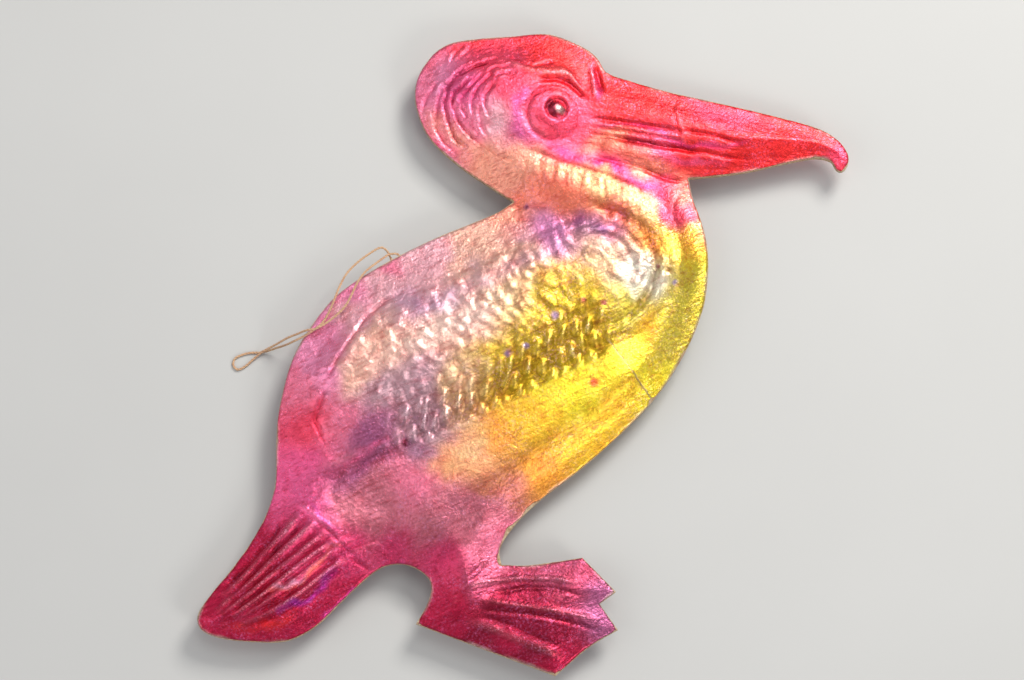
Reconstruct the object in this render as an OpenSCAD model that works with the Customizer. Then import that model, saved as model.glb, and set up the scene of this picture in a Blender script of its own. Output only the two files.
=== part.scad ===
// Pelican hanging ornament of embossed pasteboard faced with foil paper.
// Two mirror-image half shells, pressed to the same relief, are glued rim to rim.
// A loop of sewing thread is caught in the seam at the back, between the halves.
// +X points to the beak, +Y to the crown and +Z out of the front face.

/* [Bird] */
// Width from the back to the beak tip
bird_w = 54; // [48:0.5:60]
// Height from the tail tip to the crown
bird_h = 81.3; // [72:0.1:90]
// Depth of the embossing, as a share of the modelled relief
relief_depth = 1; // [0.7:0.05:1.2]

/* [Sheets] */
// Thickness of the pasteboard
card_t = 0.4; // [0.3:0.05:0.5]
// Thickness of the foil paper that faces it
foil_t = 0.06; // [0.04:0.01:0.1]
// Thickness of the adhesive between the two rims
glue_t = 0.06; // [0.04:0.01:0.1]
// Width of the adhesive band along the rim
glue_w = 1.1; // [1.1:0.2:1.5]
// Spacing of the relief's surface points
grid = 2; // [1.6:0.1:2.4]

/* [Thread] */
// Diameter of the sewing thread
thread_d = 0.3; // [0.2:0.02:0.36]
// Radius of the knot that joins the two tails
knot_r = 0.45; // [0.4:0.05:0.5]

/* [Hidden] */

laminate_gap = 0.01;   // between the card and its foil paper
outline_steps = 3;     // short straights on each stretch of the outline
sheet_over = 3;        // the relief's grid goes this far past the outline
rim_w = 1.2;           // flat margin along the cut edge
pillow_w = 4.5;        // the relief rounds off over this distance from the edge
pillow_h = 1;          // height that it has gained there
crown_w = 2.5;         // the domes and ridges reach their full height this far in
thread_sides = 8;
thread_steps = 2;      // rings on each stretch of the thread

// Outline of the flat blank, clockwise from the back of the crown: x, y, 1 for a corner.
blank = [
    // crown and forehead
    [-11.5, 40.6, 0], [-7.5, 40.4, 0], [-5.5, 39.7, 0], [-4, 38.5, 0], [-1.5, 38.4, 0],
    // top of the beak, its hooked tip and its lower edge
    [3.5, 38.7, 0], [8.5, 39.3, 0], [13.5, 39.9, 0], [18.5, 40.4, 0], [22.5, 40.6, 0],
    [25, 40, 0], [26.6, 38.8, 0], [27, 37.5, 0], [26.6, 36.6, 0], [25.9, 36.6, 0],
    [25, 37.3, 0], [23.2, 37.1, 0], [20.5, 35.6, 0], [15.5, 32.4, 0], [9.7, 29.5, 1],
    // throat, breast and belly
    [10.9, 27.5, 0], [13, 24.9, 0], [14.6, 22.3, 0], [15.8, 19, 0], [16.5, 15.5, 0],
    [16.5, 11.5, 0], [15.7, 6.5, 0], [14.3, 2, 0], [12, -2.9, 0], [9.4, -7.7, 0],
    [6.8, -11.7, 0], [5, -15, 0], [4, -17.7, 0], [3.7, -19.9, 0], [4.5, -21.4, 1],
    // webbed foot
    [7, -20.6, 0], [10, -19.1, 0], [13.1, -17.4, 1], [18.1, -19.8, 1], [16.8, -21.8, 1],
    [19.8, -23.9, 1], [17.3, -27, 0], [14.8, -31.4, 1], [-2.5, -31.3, 1],
    // back of the leg and the arch up to the tail
    [-2.1, -29, 0], [-2.2, -27, 0], [-3, -25.8, 0], [-5, -25.2, 0], [-7, -25.5, 0],
    // tail
    [-8.8, -26.8, 0], [-10.4, -29.5, 0], [-11.7, -32.2, 0], [-13.4, -35.6, 0],
    [-16, -38.3, 0], [-20, -39.8, 0], [-23.5, -40.6, 0], [-25.8, -40.4, 0],
    [-26.7, -39.1, 0], [-26.3, -36.8, 0], [-24.9, -32.6, 0], [-23.9, -28.9, 0],
    // back, up to the nape
    [-23.4, -25, 0], [-23.7, -21.5, 0], [-25, -17.8, 0], [-26.2, -14, 0], [-26.9, -9.5, 0],
    [-27, -6.5, 0], [-26.5, -3.2, 0], [-25.1, 1.3, 0], [-23, 4.7, 0], [-19.9, 8.5, 0],
    [-16.2, 12.4, 0], [-12.6, 15.7, 0], [-10.2, 18, 0], [-9, 19.7, 1],
    // back of the head
    [-12, 20.4, 0], [-16.5, 21.6, 0], [-20.9, 23.5, 0], [-23.6, 26.2, 0], [-24.9, 29.2, 0],
    [-24.6, 32.4, 0], [-23.1, 35.1, 0], [-19.8, 37.1, 0], [-15.8, 38.9, 0], [-13.5, 40, 0]
];

// Round domes of the relief: x, y, half length, half width, turn, height.
domes = [
    [-6, -1, 25, 15, 50, 1],         // body
    [-13, 31, 11, 8.5, 10, 1.2],     // head
    [-8.1, 31.1, 3.6, 3.6, 0, 0.35]  // ring round the eye
];

// Long rounded ridges of the relief: half width, height, points.
ridges = [
    [3.2, 0.7, [[-16, 23.5], [-6, 24], [2, 24.3], [8, 22.8], [12, 19], [13.8, 13],
                [13, 6], [10, -1]]],                                  // neck
    [6, 0.8, [[9, 4], [3, -7], [-5, -18]]],                           // belly
    [1.7, 0.5, [[-14, 35.9], [-9.5, 37.4], [-5.5, 36.5]]],            // brow
    [1.7, 0.45, [[-11, 28], [-6.5, 26.9], [1, 27.4], [6, 27.1], [9.5, 24.5]]], // jaw
    [2.3, 0.6, [[-3, 36.3], [9, 37.2], [20, 38.5], [25.5, 38]]],      // upper beak
    [1.7, 0.5, [[0, 29.6], [9, 31.3], [16, 34.2]]],                   // lower beak
    [7, 0.5, [[-17.5, -25], [-20, -32], [-23, -37.5]]],               // tail
    [3.5, 0.5, [[2, -17], [1, -29]]],                                 // leg
    [1.6, 0.5, [[2.5, -25], [7.5, -21.8], [15, -20.2]]],              // upper toe
    [1.6, 0.5, [[1.5, -26], [8, -25], [17.5, -23.4]]],                // middle toe
    [1.6, 0.5, [[1.5, -28], [8, -28.7], [14, -29.5]]]                 // lower toe
];

// The folded wing is a flat-topped panel along this line.
wing_line = [[4, 14.5], [-6, 4], [-16.5, -7]];
wing_w = 8;      // half width
wing_h = 0.7;    // height above the body

// ---- curves and distances ----
function unit(v) = v / norm(v);
function at(list, i) = list[(i + len(list)) % len(list)];
function flat(p) = [p[0], p[1]];

// Direction of the outline at a point, for the stretch from p to q beside it.
function heading(before, after, stretch, corner) = corner ? unit(stretch) : unit(after - before);

function hermite(p, q, m, n, t) =
    (2 * pow(t, 3) - 3 * pow(t, 2) + 1) * p + (pow(t, 3) - 2 * pow(t, 2) + t) * m
    + (3 * pow(t, 2) - 2 * pow(t, 3)) * q + (pow(t, 3) - pow(t, 2)) * n;

// Smooth closed curve through the points, straight up to each corner.
function closed_curve(points, steps) = [
    for (i = [0 : len(points) - 1])
        let (
            p = flat(at(points, i)),
            q = flat(at(points, i + 1)),
            leave = heading(flat(at(points, i - 1)), q, q - p, points[i][2] == 1),
            arrive = heading(p, flat(at(points, i + 2)), q - p, at(points, i + 1)[2] == 1),
            reach = norm(q - p)
        )
        for (k = [0 : steps - 1]) hermite(p, q, reach * leave, reach * arrive, k / steps)
];

// Smooth open curve through the points of a thread.
function open_curve(points, steps) = [
    for (i = [0 : len(points) - 2])
        let (
            p = points[i],
            q = points[i + 1],
            m = (q - points[max(i - 1, 0)]) / 2,
            n = (points[min(i + 2, len(points) - 1)] - p) / 2
        )
        for (k = [0 : steps - 1]) hermite(p, q, m, n, k / steps),
    points[len(points) - 1]
];

function span_distance(p, a, b) =
    let (ab = b - a, t = max(0, min(1, ((p - a) * ab) / (ab * ab)))) norm(p - a - t * ab);
function line_distance(p, line) =
    min([for (i = [0 : len(line) - 2]) span_distance(p, line[i], line[i + 1])]);

// ---- relief ----
outline = closed_curve(blank, outline_steps);
edge = concat(outline, [outline[0]]);

function bump(t) = t >= 1 ? 0 : pow(1 - t * t, 2);
function dome_height(p, d) =
    let (
        dx = p[0] - d[0],
        dy = p[1] - d[1],
        u = (dx * cos(d[4]) + dy * sin(d[4])) / d[2],
        v = (dy * cos(d[4]) - dx * sin(d[4])) / d[3]
    )
    d[5] * bump(norm([u, v]));
function ridge_height(p, r) = r[1] * bump(line_distance(p, r[2]) / r[0]);
function wing_height(p) = wing_h * max(0, 1 - pow(line_distance(p, wing_line) / wing_w, 4));
function total(list) = len(list) == 0 ? 0 : list * [for (v = list) 1];

// Height of the relief over the flat rim; nothing rises within rim_w of the cut edge.
function relief(p) =
    let (
        inset = max(0, line_distance(p, edge) - rim_w),
        rise = min(1, inset / pillow_w),
        shape = total([for (d = domes) dome_height(p, d)])
            + total([for (r = ridges) ridge_height(p, r)]) + wing_height(p)
    )
    inset == 0 ? 0
        : relief_depth * (pillow_h * (1 - pow(1 - rise, 2)) + min(1, inset / crown_w) * shape);

drawn_w = max([for (p = outline) p[0]]) - min([for (p = outline) p[0]]);
drawn_h = max([for (p = outline) p[1]]) - min([for (p = outline) p[1]]);
// Place of a drawn point on the finished bird.
function fit(p) = [p[0] * bird_w / drawn_w, p[1] * bird_h / drawn_h, p[2]];

// Rows of an even triangular grid over the blank.
row_gap = grid * sqrt(3) / 2;
cols = ceil((drawn_w + 2 * sheet_over) / grid);
rows = ceil((drawn_h + 2 * sheet_over) / row_gap);
nodes_xy = [
    for (j = [0 : rows], i = [0 : cols])
        [(i - cols / 2 + (j % 2 == 0 ? 0 : 0.5)) * grid, (j - rows / 2) * row_gap]
];
heights = [for (p = nodes_xy) relief(p)];
relief_top = max(heights);
seam_z = relief_top + foil_t + laminate_gap + card_t + glue_t / 2;

// ---- the pressed sheet ----
function grid_index(i, j) = j * (cols + 1) + i;
function cell_faces(i, j, layer) =
    let (
        a = layer + grid_index(i, j),
        b = layer + grid_index(i + 1, j),
        c = layer + grid_index(i + 1, j + 1),
        d = layer + grid_index(i, j + 1)
    )
    j % 2 == 0 ? [[a, d, b], [b, d, c]] : [[a, c, b], [a, d, c]];
border = concat(
    [for (i = [0 : cols - 1]) grid_index(i, 0)],
    [for (j = [0 : rows - 1]) grid_index(cols, j)],
    [for (i = [cols : -1 : 1]) grid_index(i, rows)],
    [for (j = [rows : -1 : 1]) grid_index(0, j)]
);
function turned(face) = [face[2], face[1], face[0]];

// One sheet of the front half: its under side is lift above the seam, t thick.
module pressed_sheet(lift, t) {
    count = len(nodes_xy);
    upper = [for (k = [0 : count - 1]) [nodes_xy[k][0], nodes_xy[k][1], heights[k] + lift + t]];
    lower = [for (k = [0 : count - 1]) [nodes_xy[k][0], nodes_xy[k][1], heights[k] + lift]];
    faces = concat(
        [for (j = [0 : rows - 1], i = [0 : cols - 1]) each cell_faces(i, j, 0)],
        [for (j = [0 : rows - 1], i = [0 : cols - 1], f = cell_faces(i, j, count)) turned(f)],
        [for (k = [0 : len(border) - 1])
            let (a = border[k], b = at(border, k + 1)) [a, b, b + count, a + count]]
    );
    resize([bird_w, bird_h, 0])
        intersection() {
            polyhedron(concat(upper, lower), faces);
            linear_extrude(relief_top + lift + 2 * t) polygon(outline);
        }
}

card_lift = glue_t / 2;
foil_lift = card_lift + card_t + laminate_gap;

module front_card() color("#b08d63") translate([0, 0, seam_z]) pressed_sheet(card_lift, card_t);
module front_foil() color("#d8427a") translate([0, 0, seam_z]) pressed_sheet(foil_lift, foil_t);
module back_card() color("#9c7a52")
    translate([0, 0, seam_z]) mirror([0, 0, 1]) pressed_sheet(card_lift, card_t);
module back_foil() color("#c9a227")
    translate([0, 0, seam_z]) mirror([0, 0, 1]) pressed_sheet(foil_lift, foil_t);

// Band of adhesive that follows the rim between the two halves.
module rim_glue() color("#e8d9a8")
    translate([0, 0, seam_z - glue_t / 2])
        resize([bird_w, bird_h, 0])
            linear_extrude(glue_t)
                difference() {
                    polygon(outline);
                    offset(delta = -glue_w) polygon(outline);
                }

// ---- thread ----
thread_clear = 0.02;                             // under the part of the thread that lies down
low = thread_d / 2 + thread_clear - seam_z;      // height of that part, from the seam
knot_at = [-17.2, 6];
knot_facets = 24;
dab_facets = 32;

// Glued-in tails, from the knot out through the seam: height counts from the seam.
lower_tail = [[-17.6, 6.2, 0], [-18.6, 6.7, 0], [-19.5, 7.5, 0], [-20.1, 8.1, 0], [-20.5, 8.5, -0.1]];
upper_tail = [[-17.3, 6.4, 0], [-17.8, 7.3, 0], [-18.6, 8.3, 0], [-19.3, 8.9, 0.1], [-19.9, 9.1, 0.3],
              [-20.5, 8.8, 0.4]];

// The free loop, out over the edge, down to the surface, round its tip and back.
loop_route = [
    [-20.7, 8.7, -0.1], [-21.2, 9.1, 0], [-22, 9.1, 0.2], [-23.1, 7.7, 0.4], [-24, 6.2, 0.5],
    [-24.6, 4.6, 0.7], [-24.8, 2.8, 0.9], [-24.8, 1, 1.1], [-24.9, -0.7, 1.1], [-25.2, -2, 1.1],
    [-25.9, -3.1, 1], [-26.6, -4, 0.9], [-27.5, -4.8, 0.3], [-28.5, -5.5, 0.3 * low],
    [-29.6, -6.1, 0.7 * low], [-30.5, -6.7, 0.9 * low], [-31.4, -7.2, low], [-32.4, -7.6, low],
    [-33.3, -8.2, low], [-33.9, -8.9, low], [-33.8, -9.7, low], [-33.1, -10, low],
    [-32.4, -9.3, low], [-31.8, -8.2, 0.97 * low], [-31.1, -7.1, 0.86 * low],
    [-30.3, -6.3, 0.68 * low], [-29.5, -5.6, 0.42 * low], [-28.6, -4.8, 0.1 * low],
    [-27.5, -4, 0.6], [-26.6, -3.4, 1.45], [-25.6, -2.9, 1.8], [-24.6, -1.8, 1.9],
    [-23.8, -0.5, 1.9], [-23.2, 0.9, 1.9], [-23, 2.4, 1.75], [-22.9, 4, 1.5],
    [-22.5, 5.6, 1.3], [-21.6, 7.2, 1], [-20.7, 8.7, 0.4]
];

function side_of(along) = unit(cross(along, abs(along[2]) > 0.9 * norm(along) ? [1, 0, 0] : [0, 0, 1]));
function ring_at(centre, along, d) =
    let (s = side_of(along), u = unit(cross(s, along)))
    [for (k = [0 : thread_sides - 1])
        let (a = 360 * (k + 0.5) / thread_sides) centre + d / 2 * (cos(a) * s + sin(a) * u)];

// Round tube swept along an open route.
module tube(route, d) {
    path = open_curve([for (p = route) fit(p)], thread_steps);
    last = len(path) - 1;
    points = [for (i = [0 : last])
        each ring_at(path[i], path[min(i + 1, last)] - path[max(i - 1, 0)], d)];
    n = thread_sides;
    walls = [for (i = [0 : last - 1], k = [0 : n - 1])
        let (a = i * n + k, b = i * n + (k + 1) % n)
        each [[a, b, b + n], [a, b + n, a + n]]];
    caps = [[for (k = [n - 1 : -1 : 0]) k], [for (k = [0 : n - 1]) last * n + k]];
    translate([0, 0, seam_z]) polyhedron(concat(points), concat(walls, caps));
}

module thread_ends() color("#c9b083") {
    tube(lower_tail, thread_d);
    tube(upper_tail, thread_d);
}
module thread_knot() color("#b89c6c")
    translate(fit([knot_at[0], knot_at[1], seam_z])) sphere(knot_r, $fn = knot_facets);

// Flattened drop of glue on the inside of the back half, with the knot sunk in it.
dab_r = 1.1;
dab_low = 0.9;    // how far it reaches below the seam
dab_high = 0.15;  // how far it stands above the seam
module glue_dab() color("#f0e6c0")
    translate(fit([knot_at[0], knot_at[1], seam_z]))
        difference() {
            rotate_extrude($fn = dab_facets)
                polygon([[0, -dab_low], [0.6 * dab_r, -dab_low], [dab_r, -0.5 * dab_low],
                         [0.95 * dab_r, 0], [0.7 * dab_r, dab_high], [0, dab_high]]);
            sphere(knot_r, $fn = knot_facets);
        }

module hanging_thread() color("#d9c397") tube(loop_route, thread_d);

front_card();
front_foil();
back_card();
back_foil();
rim_glue();
thread_ends();
thread_knot();
glue_dab();
hanging_thread();
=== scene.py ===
"""Looks of a pressed foil-card pelican ornament with its thread loop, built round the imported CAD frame."""

import math

import bpy
import numpy as np
from mathutils import Matrix, Vector
from mathutils.geometry import delaunay_2d_cdt


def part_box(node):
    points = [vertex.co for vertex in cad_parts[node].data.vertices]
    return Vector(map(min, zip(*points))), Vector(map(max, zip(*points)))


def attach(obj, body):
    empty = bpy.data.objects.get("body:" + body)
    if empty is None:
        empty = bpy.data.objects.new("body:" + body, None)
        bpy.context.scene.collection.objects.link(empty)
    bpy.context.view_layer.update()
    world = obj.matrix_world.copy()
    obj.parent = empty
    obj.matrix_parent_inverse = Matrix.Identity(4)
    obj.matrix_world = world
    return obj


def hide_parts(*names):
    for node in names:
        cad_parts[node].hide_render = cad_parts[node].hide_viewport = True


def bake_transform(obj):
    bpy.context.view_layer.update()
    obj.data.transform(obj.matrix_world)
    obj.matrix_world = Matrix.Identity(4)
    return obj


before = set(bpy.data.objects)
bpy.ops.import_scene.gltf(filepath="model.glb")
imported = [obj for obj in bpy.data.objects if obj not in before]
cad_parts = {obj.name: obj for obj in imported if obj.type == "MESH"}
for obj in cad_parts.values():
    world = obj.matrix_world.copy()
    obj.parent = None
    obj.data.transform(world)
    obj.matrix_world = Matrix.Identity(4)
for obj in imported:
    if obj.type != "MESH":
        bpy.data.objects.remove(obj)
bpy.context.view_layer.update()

MM = 0.001              # the tables below are in millimetres
SEED = 7

# ---- places taken from the frame, in millimetres ----
GLUE_LOW, GLUE_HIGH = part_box("rim_glue")
FOIL_LOW, FOIL_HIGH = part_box("front_foil")
SEAM = (GLUE_LOW.z + GLUE_HIGH.z) / 2 / MM
CARD_LIFT = (GLUE_HIGH.z / MM) - SEAM               # under side of the card, above the seam
FOIL_LIFT = FOIL_LOW.z / MM - SEAM                  # under side of the foil paper at the rim
FOIL_T = 0.06
RIM_LIFT = FOIL_LIFT + FOIL_T                       # face of the foil paper at the rim
RELIEF_TOP = FOIL_HIGH.z / MM - SEAM - RIM_LIFT     # highest relief above the rim
THREAD_D = 0.3

# ---- Camera and thread come first ----
CAMERA_AT = Vector((16.1, -49.8, SEAM + 342.3)) * MM
LOOKS_AT = Vector((-3.47, 4.05, SEAM)) * MM
CAMERA_TURN = math.radians(20)      # the picture's right-hand side, from +X towards +Y
LENS = 103.15


def add_camera():
    """Camera at the photograph's viewing angle: nearly overhead, turned 20 degrees."""
    forward = (LOOKS_AT - CAMERA_AT).normalized()
    right = Vector((math.cos(CAMERA_TURN), math.sin(CAMERA_TURN), 0))
    up = right.cross(forward).normalized()
    right = forward.cross(up)
    camera = bpy.data.objects.new("camera", bpy.data.cameras.new("camera"))
    bpy.context.scene.collection.objects.link(camera)
    turn = Matrix((right, up, -forward)).transposed()
    camera.matrix_world = Matrix.Translation(CAMERA_AT) @ turn.to_4x4()
    camera.data.lens = LENS
    camera.data.clip_start = 0.01
    camera.data.clip_end = 10
    bpy.context.scene.camera = camera


THREAD_CLEAR = 0.02
LOW = THREAD_D / 2 + THREAD_CLEAR - SEAM    # height of thread that lies on the surface, from the seam
LOWER_TAIL = [(-17.6, 6.2, 0), (-18.6, 6.7, 0), (-19.5, 7.5, 0), (-20.1, 8.1, 0)]
UPPER_TAIL = [(-17.3, 6.4, 0), (-17.8, 7.3, 0), (-18.6, 8.3, 0), (-19.3, 8.9, 0.1), (-19.9, 9.1, 0.3)]
LOOP_START = [(-20.1, 8.1, 0), (-20.5, 8.5, -0.1)]
LOOP_END = [(-20.5, 8.8, 0.4), (-19.9, 9.1, 0.3)]
LOOP = [
    (-20.7, 8.7, -0.1), (-21.2, 9.1, 0), (-22, 9.1, 0.2), (-23.1, 7.7, 0.4), (-24, 6.2, 0.5),
    (-24.6, 4.6, 0.7), (-24.8, 2.8, 0.9), (-24.8, 1, 1.1), (-24.9, -0.7, 1.1), (-25.2, -2, 1.1),
    (-25.9, -3.1, 1), (-26.6, -4, 0.9), (-27.5, -4.8, 0.3), (-28.5, -5.5, 0.3 * LOW),
    (-29.6, -6.1, 0.7 * LOW), (-30.5, -6.7, 0.9 * LOW), (-31.4, -7.2, LOW), (-32.4, -7.6, LOW),
    (-33.3, -8.2, LOW), (-33.9, -8.9, LOW), (-33.8, -9.7, LOW), (-33.1, -10, LOW),
    (-32.4, -9.3, LOW), (-31.8, -8.2, 0.97 * LOW), (-31.1, -7.1, 0.86 * LOW),
    (-30.3, -6.3, 0.68 * LOW), (-29.5, -5.6, 0.42 * LOW), (-28.6, -4.8, 0.1 * LOW),
    (-27.5, -4, 0.6), (-26.6, -3.4, 1.45), (-25.6, -2.9, 1.8), (-24.6, -1.8, 1.9),
    (-23.8, -0.5, 1.9), (-23.2, 0.9, 1.9), (-23, 2.4, 1.75), (-22.9, 4, 1.5),
    (-22.5, 5.6, 1.3), (-21.6, 7.2, 1), (-20.7, 8.7, 0.4),
]
TWIST = 0.85            # one turn of the two plies
PLY_R, PLY_OFF = 0.29, 0.21         # radius of a ply and its distance from the middle, of the diameter
PLY_SIDES = 8
FINE_STEP = 0.07


def cubic(t, p, q, m, n):
    """The point at share t of the curve from p to q, with end slopes m and n."""
    return ((2 * t**3 - 3 * t**2 + 1) * p + (t**3 - 2 * t**2 + t) * m
            + (3 * t**2 - 2 * t**3) * q + (t**3 - t**2) * n)


def spline(points, step):
    """Points about a step apart on the smooth open curve through the given ones."""
    points = np.array(points, float)
    out = []
    for i in range(len(points) - 1):
        p, q = points[i], points[i + 1]
        m = (q - points[max(i - 1, 0)]) / 2
        n = (points[min(i + 2, len(points) - 1)] - p) / 2
        count = max(2, int(np.linalg.norm(q - p) / step))
        out += [cubic(t, p, q, m, n) for t in np.arange(count) / count]
    return np.array(out + [points[-1]])


def frames_along(path):
    """Side and up directions at each point of a path, turning as little as they can."""
    ahead = np.gradient(path, axis=0)
    ahead /= np.linalg.norm(ahead, axis=1)[:, None]
    side = np.cross(ahead[0], [0, 0, 1.0])
    sides = []
    for a in ahead:
        side = side - (side @ a) * a
        side /= np.linalg.norm(side)
        sides.append(side)
    sides = np.array(sides)
    return sides, np.cross(ahead, sides)


def mesh_object(name, points, faces, smooth=True):
    """A Blender mesh from points in millimetres."""
    mesh = bpy.data.meshes.new(name)
    mesh.from_pydata((np.asarray(points) * MM).tolist(), [], faces)
    mesh.validate()
    if smooth:
        mesh.shade_smooth()
    made = bpy.data.objects.new(name, mesh)
    bpy.context.scene.collection.objects.link(made)
    return made


def tube(path, radius, sides, first=0):
    """Points and faces of a closed tube with rounded ends along a path."""
    across, upward = frames_along(path)
    gone = np.r_[0, np.cumsum(np.linalg.norm(np.diff(path, axis=0), axis=1))]
    from_end = np.minimum(gone, gone[-1] - gone)
    swell = np.sqrt(np.clip(1 - (1 - np.minimum(1, from_end / radius)) ** 2, 0.02, 1))
    points, faces = [], []
    for k, centre in enumerate(path):
        for s in range(sides):
            a = 2 * math.pi * s / sides
            points.append(centre + radius * swell[k] * (math.cos(a) * across[k] + math.sin(a) * upward[k]))
    for k in range(len(path) - 1):
        for s in range(sides):
            a, b = first + k * sides + s, first + k * sides + (s + 1) % sides
            faces.append((a, b, b + sides, a + sides))
    faces.append(tuple(first + s for s in reversed(range(sides))))
    faces.append(tuple(first + (len(path) - 1) * sides + s for s in range(sides)))
    return points, faces


def twisted_thread(name, route):
    """Two plies laid round each other along a route whose heights count from the seam."""
    path = spline([(x, y, z + SEAM) for x, y, z in route], FINE_STEP)
    across, upward = frames_along(path)
    gone = np.r_[0, np.cumsum(np.linalg.norm(np.diff(path, axis=0), axis=1))]
    ply_r, off = PLY_R * THREAD_D, PLY_OFF * THREAD_D
    points, faces = [], []
    for ply in range(2):
        turn = (2 * math.pi * gone / TWIST + math.pi * ply)[:, None]
        middle = path + off * (np.cos(turn) * across + np.sin(turn) * upward)
        new_points, new_faces = tube(middle, ply_r, PLY_SIDES, len(points))
        points += new_points
        faces += new_faces
    return mesh_object(name, points, faces), path, gone[-1]


def add_threads():
    """The free loop from where it leaves the seam, and its two glued-in tails."""
    loop, path, length = twisted_thread("thread_loop", LOOP_START + LOOP + LOOP_END)
    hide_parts("hanging_thread")
    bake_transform(loop)
    tails = []
    for name, route in (("thread_tail_lower", LOWER_TAIL), ("thread_tail_upper", UPPER_TAIL)):
        tail, _, _ = twisted_thread(name, route)
        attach(tail, "ornament")
        tails.append(tail)
    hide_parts("thread_ends")
    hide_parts("thread_ends")
    return [loop] + tails


# ---- Outline of the blank and the grids that fill it ----
CORNER_TURN = math.radians(38)      # a sharper turn than this on the outline is a corner
EDGE_STEP = 0.26


def rim_loop():
    """Outer edge of the glue band in the CAD frame: the outline of the blank, in millimetres."""
    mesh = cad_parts["rim_glue"].data
    place = [tuple(np.round(np.array(v.co) / MM, 3)) for v in mesh.vertices]
    top = max(p[2] for p in place)
    ahead = {}
    for face in mesh.polygons:
        corners = [place[v] for v in face.vertices]
        if min(c[2] for c in corners) > top - 0.01:
            for a, b in zip(corners, corners[1:] + corners[:1]):
                ahead[(a[:2], b[:2])] = True
    border = {a: b for a, b in ahead if (b, a) not in ahead}
    loops = []
    while border:
        start, point = border.popitem()
        loop = [start]
        while point != start:
            loop.append(point)
            point = border.pop(point)
        loops.append(np.array(loop))
    return max(loops, key=lambda loop: np.ptp(loop[:, 1]))


def smooth_outline(loop, step):
    """The outline as a fine smooth curve that keeps its corners."""
    count = len(loop)
    before, after = np.roll(loop, 1, 0), np.roll(loop, -1, 0)
    way_in, way_out = loop - before, after - loop
    turn = np.arctan2(way_in[:, 0] * way_out[:, 1] - way_in[:, 1] * way_out[:, 0],
                      (way_in * way_out).sum(1))
    corner = np.abs(turn) > CORNER_TURN
    heading = after - before
    heading /= np.linalg.norm(heading, axis=1)[:, None]
    fine = []
    for i in range(count):
        j = (i + 1) % count
        p, q = loop[i], loop[j]
        reach = np.linalg.norm(q - p)
        straight = q - p
        m = straight if corner[i] else reach * heading[i]
        n = straight if corner[j] else reach * heading[j]
        steps = max(1, round(reach / step))
        fine += [cubic(t, p, q, m, n) for t in np.arange(steps) / steps]
    fine = np.array(fine)
    area = (fine[:, 0] * np.roll(fine[:, 1], -1) - fine[:, 1] * np.roll(fine[:, 0], -1)).sum()
    fine = fine if area > 0 else fine[::-1]
    low, high = loop.min(0), loop.max(0)
    return np.clip(fine, low, high)


def inward(outline):
    """Unit direction into the shape at each point of an outline that runs anticlockwise."""
    way = np.roll(outline, -1, 0) - np.roll(outline, 1, 0)
    way /= np.linalg.norm(way, axis=1)[:, None]
    return np.c_[-way[:, 1], way[:, 0]]


def chunks(count, size=4000):
    return [slice(k, min(k + size, count)) for k in range(0, count, size)]


def edge_distance(points, outline):
    """Distance from each point to the outline."""
    a = outline
    way = np.roll(outline, -1, 0) - a
    reach = (way**2).sum(1)
    out = np.empty(len(points))
    for part in chunks(len(points)):
        x = points[part, 0][:, None] - a[:, 0]
        y = points[part, 1][:, None] - a[:, 1]
        t = np.clip((x * way[:, 0] + y * way[:, 1]) / reach, 0, 1)
        out[part] = np.sqrt(((x - t * way[:, 0]) ** 2 + (y - t * way[:, 1]) ** 2).min(1))
    return out


def inside(points, outline):
    """True for each point within the outline."""
    a, b = outline, np.roll(outline, -1, 0)
    out = np.zeros(len(points), bool)
    rise = np.where(b[:, 1] == a[:, 1], 1e-12, b[:, 1] - a[:, 1])
    for part in chunks(len(points)):
        x, y = points[part, 0][:, None], points[part, 1][:, None]
        spans = (a[:, 1] > y) != (b[:, 1] > y)
        crosses = x < a[:, 0] + (y - a[:, 1]) / rise * (b[:, 0] - a[:, 0])
        out[part] = (spans & crosses).sum(1) % 2 == 1
    return out


def filled(outline, gap):
    """Points and triangles that fill an outline: its own points first, then an even grid."""
    low, high = outline.min(0), outline.max(0)
    rows = np.arange(low[1], high[1], gap * math.sqrt(0.75))
    grid = []
    for k, y in enumerate(rows):
        xs = np.arange(low[0] + (k % 2) * gap / 2, high[0], gap)
        grid.append(np.c_[xs, np.full(len(xs), y)])
    grid = np.concatenate(grid)
    grid = grid[inside(grid, outline)]
    grid = grid[edge_distance(grid, outline) > 0.55 * min(gap, EDGE_STEP)]
    points = np.concatenate([outline, grid])
    border = list(range(len(outline)))
    made = delaunay_2d_cdt([Vector(p) for p in points], [], [border], 1, 1e-7)
    if len(made[0]) != len(points):
        raise ValueError("the grid's points were merged")
    triangles = [tuple(f) for f in made[2]]
    a, b, c = (points[[f[k] for f in triangles]] for k in range(3))
    turn = (b - a)[:, 0] * (c - a)[:, 1] - (b - a)[:, 1] * (c - a)[:, 0]
    triangles = [f if t > 0 else f[::-1] for f, t in zip(triangles, turn)]
    return points, triangles


# ---- Relief ----
# Round domes: x, y, half length, half width, turn in degrees, height
DOMES = [
    (-6, -1, 25, 15, 50, 1),         # body
    (-13, 31, 11, 8.5, 10, 1.2),     # head
    (-8.1, 31.1, 3.6, 3.6, 0, 0.3),  # eye ring
]
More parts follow.
